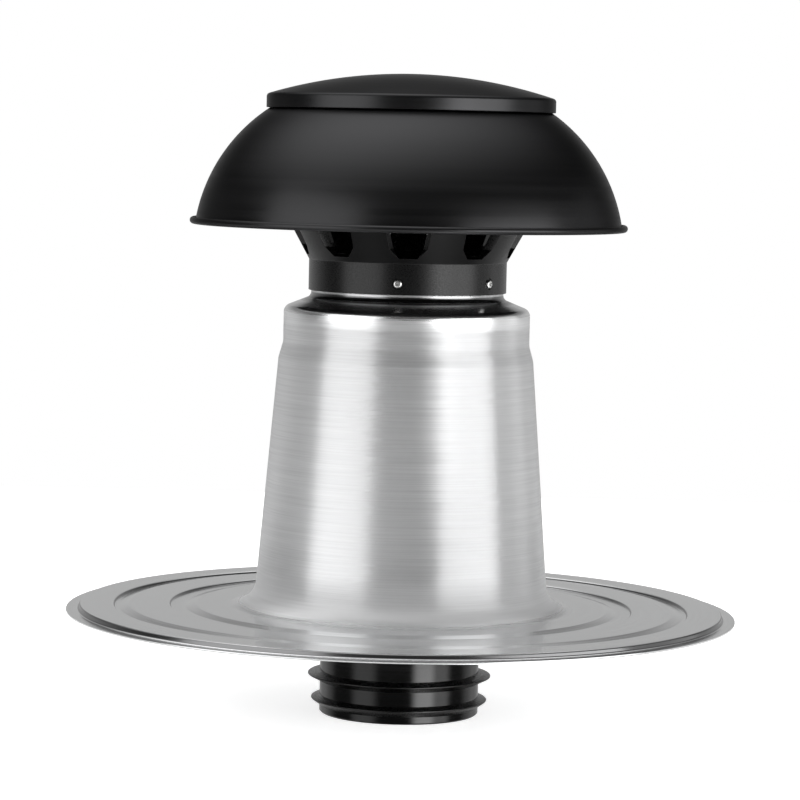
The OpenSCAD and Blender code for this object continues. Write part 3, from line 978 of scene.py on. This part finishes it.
def floor_paint():
    """Pale and matt, and lifted to white for the camera alone. Close to the object the floor
    isn't mirrored: there the spigot mirrors the surround."""
    material = bpy.data.materials.new("pale_floor")
    material.use_nodes = True
    nodes = Nodes(material.node_tree)
    matt = nodes.tree.nodes["Principled BSDF"]
    matt.inputs["Base Color"].default_value = FLOOR_COLOUR
    matt.inputs["Roughness"].default_value = FLOOR_ROUGHNESS
    glow = nodes.node("ShaderNodeEmission", {"Strength": FLOOR_GLOW}).outputs[0]
    lifted = nodes.node("ShaderNodeAddShader", {0: matt.outputs[0], 1: glow}).outputs[0]
    ray = nodes.node("ShaderNodeLightPath").outputs
    inputs = {0: ray["Is Camera Ray"], 1: matt.outputs[0], 2: lifted}
    floor = nodes.node("ShaderNodeMixShader", inputs).outputs[0]
    spot = nodes.node("ShaderNodeTexCoord").outputs["Object"]
    away = nodes.node("ShaderNodeVectorMath", {0: spot}, operation="LENGTH").outputs["Value"]
    near = nodes.calc("LESS_THAN", away, NEAR_FLOOR)
    cleared = nodes.calc("MULTIPLY", near, ray["Is Glossy Ray"])
    clear = nodes.node("ShaderNodeBsdfTransparent").outputs[0]
    last = nodes.node("ShaderNodeMixShader", {0: cleared, 1: floor, 2: clear}).outputs[0]
    nodes.tree.links.new(last, nodes.tree.nodes["Material Output"].inputs["Surface"])
    return material


def make_surround():
    """White for the camera. What the object sees is a surround that is paler at the back, an
    overhead light, and low strips."""
    world = bpy.data.worlds.new("studio")
    bpy.context.scene.world = world
    world.use_nodes = True
    nodes = Nodes(world.node_tree)
    background = world.node_tree.nodes["Background"]
    background.inputs["Color"].default_value = (1, 1, 1, 1)
    direction = nodes.node("ShaderNodeTexCoord").outputs["Generated"]
    x, y, z = nodes.node("ShaderNodeSeparateXYZ", {0: direction}).outputs

    def ramp(value, span, low, high):
        return nodes.spread(value, low, high, *span, interpolation_type="SMOOTHSTEP")

    behind = ramp(y, FRONT_TO_BACK, 0, BACK_LEVEL - FRONT_LEVEL)
    low = ramp(z, LOW_TO_HIGH, 1, UPPER_SHARE)
    level = nodes.calc("ADD", nodes.calc("MULTIPLY", behind, low), FRONT_LEVEL)

    inputs = {0: direction, 1: OVERHEAD_DIRECTION}
    towards = nodes.node("ShaderNodeVectorMath", inputs, operation="DOT_PRODUCT").outputs["Value"]
    past_edge = nodes.calc("SUBTRACT", towards, OVERHEAD_EDGE)
    share = nodes.calc("DIVIDE", past_edge, 1 - OVERHEAD_EDGE)
    share = nodes.calc("POWER", nodes.calc("MAXIMUM", share, 0.0), OVERHEAD_FALL)
    overhead = nodes.calc("MULTIPLY", share, ramp(z, OVERHEAD_HEIGHT, 0, OVERHEAD_LEVEL))
    level = nodes.calc("ADD", level, overhead)

    azimuth = nodes.calc("ARCTAN2", x, nodes.calc("MULTIPLY", y, -1.0))
    strips = 0.0
    for middle, half_width, strip_level in STRIPS:
        away = nodes.calc("ABSOLUTE", nodes.calc("SUBTRACT", azimuth, math.radians(middle)))
        edge = [math.radians(half_width) * share_of for share_of in STRIP_EDGE]
        strips = nodes.calc("ADD", strips, ramp(away, edge, strip_level, 0))
    strips = nodes.calc("MULTIPLY", strips, ramp(z, STRIP_HEIGHT, 0, 1))
    level = nodes.calc("ADD", level, strips)

    seen = nodes.node("ShaderNodeLightPath").outputs["Is Camera Ray"]
    unseen = nodes.calc("MULTIPLY", level, nodes.calc("SUBTRACT", 1.0, seen))
    strength = nodes.calc("ADD", unseen, seen)
    nodes.tree.links.new(strength, background.inputs["Strength"])


def make_softbox(name, azimuth, elevation, width, height, radiance):
    """A lamp that looks at the object and that the camera doesn't see."""
    data = bpy.data.lights.new(name, "AREA")
    data.shape = "RECTANGLE"
    data.size = width
    data.size_y = height
    data.energy = radiance * math.pi * width * height
    lamp = bpy.data.objects.new(name, data)
    bpy.context.scene.collection.objects.link(lamp)
    lamp.visible_camera = False
    around = Matrix.Rotation(math.radians(azimuth), 4, "Z")
    tilt = Matrix.Rotation(math.radians(90 - elevation), 4, "X")
    away = Matrix.Translation((0, 0, SOFTBOX_DISTANCE))
    lamp.matrix_world = Matrix.Translation(SOFTBOX_AIM) @ around @ tilt @ away


def make_studio():
    """Pale floor, a softbox on the left, two on the right, and the surround."""
    deselect_objects()
    bpy.ops.mesh.primitive_plane_add(size=FLOOR_SIZE, location=(0, 0, FLOOR_Z * MM))
    floor = bpy.context.object
    floor.name = "floor"
    floor.data.materials.append(floor_paint())
    make_surround()
    for name, settings in SOFTBOXES.items():
        make_softbox(name, *settings)


def make_camera():
    """The photograph's camera: level with the hood, looking a little down, and leaning."""
    data = bpy.data.cameras.new("camera")
    data.sensor_width = SENSOR_MM
    data.lens = LENS_PX / PHOTO_PX * SENSOR_MM
    data.clip_end = CAMERA_REACH
    data.shift_x = -AXIS_PX / PHOTO_PX
    camera = bpy.data.objects.new("camera", data)
    bpy.context.scene.collection.objects.link(camera)
    pitch = math.atan(HORIZON_PX / LENS_PX)
    camera.matrix_world = (
        Matrix.Translation(CAMERA_PLACE)
        @ Matrix.Rotation(math.pi / 2 - pitch, 4, "X")
        @ Matrix.Rotation(CAMERA_LEAN, 4, "Z")
    )
    bpy.context.scene.camera = camera


make_camera()
make_studio()

aluminium = spun_aluminium()
hood_black = coated_black()
cowl_black = moulded_black()
pipe_black = duct_black()
rubber = seal_rubber()
zinc = zinc_steel()

handed_over(make_shell(), aluminium, "shell_aluminium", "flashing_shell")
handed_over(make_duct(), pipe_black, "duct_plastic", "inner_pipe")
handed_over(make_seal("upper_seal", UPPER_SEAL_Z, UPPER_LIP), rubber, "seal_rubber", "upper_lip_seal")
handed_over(make_seal("lower_seal", LOWER_SEAL_Z, LOWER_LIP), rubber, "seal_rubber", "lower_lip_seal")
handed_over(make_hood(), hood_black, "hood_coated", "hood_dome")
handed_over(make_lid(), hood_black, "hood_coated", "hood_lid")
cowl = handed_over(make_cowl(), cowl_black, "cowl_plastic", "cowl_collar")
arms_painted(cowl, shaded_matt_black())
handed_over(make_screws(), zinc, "screw_steel", "collar_screws")
for node_name, material in (("spacer_ring", cowl_black), ("hood_screws", zinc)):
    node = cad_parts[node_name]
    node.data.materials.clear()
    node.data.materials.append(material)

scene = bpy.context.scene
scene.view_settings.view_transform = "Standard"
